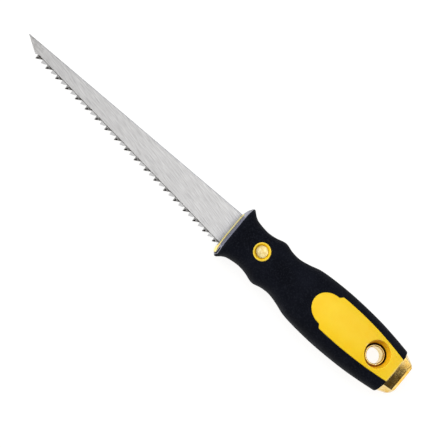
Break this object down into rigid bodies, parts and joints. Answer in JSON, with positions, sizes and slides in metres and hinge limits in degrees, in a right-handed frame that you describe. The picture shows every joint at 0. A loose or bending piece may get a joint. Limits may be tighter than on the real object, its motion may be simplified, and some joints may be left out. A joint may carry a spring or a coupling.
{
  "type": "drywall saw",
  "caption": "Drywall saw with a pointed coarse-toothed blade, a rubber grip over a yellow core, a brass hang eyelet and a metal striking cap.",
  "frame": {"origin": "centre of the hang hole, on the blade's middle plane", "axes": "X along the handle from the blade to the butt, +Y towards the blade's spine, +Z out of the upper face, across the blade"},
  "size_m": [0.2998, 0.0374, 0.0264],
  "materials": {
    "blade_steel": "fine diagonal grind, satin",
    "yellow_plastic": "moulded polypropylene, semi-matt",
    "black_rubber": "fine matt texture",
    "brass": "turned, slightly dulled",
    "cap_brass": "bright brass plating"
  },
  "bodies": {
    "root": {"blade": "blade_steel", "core_top": "yellow_plastic", "core_bottom": "yellow_plastic", "grip": "black_rubber", "rivet_barrel": "brass", "rivet_post": "brass", "hang_eyelet": "brass", "end_cap": "cap_brass"}
  },
  "joints": []
}
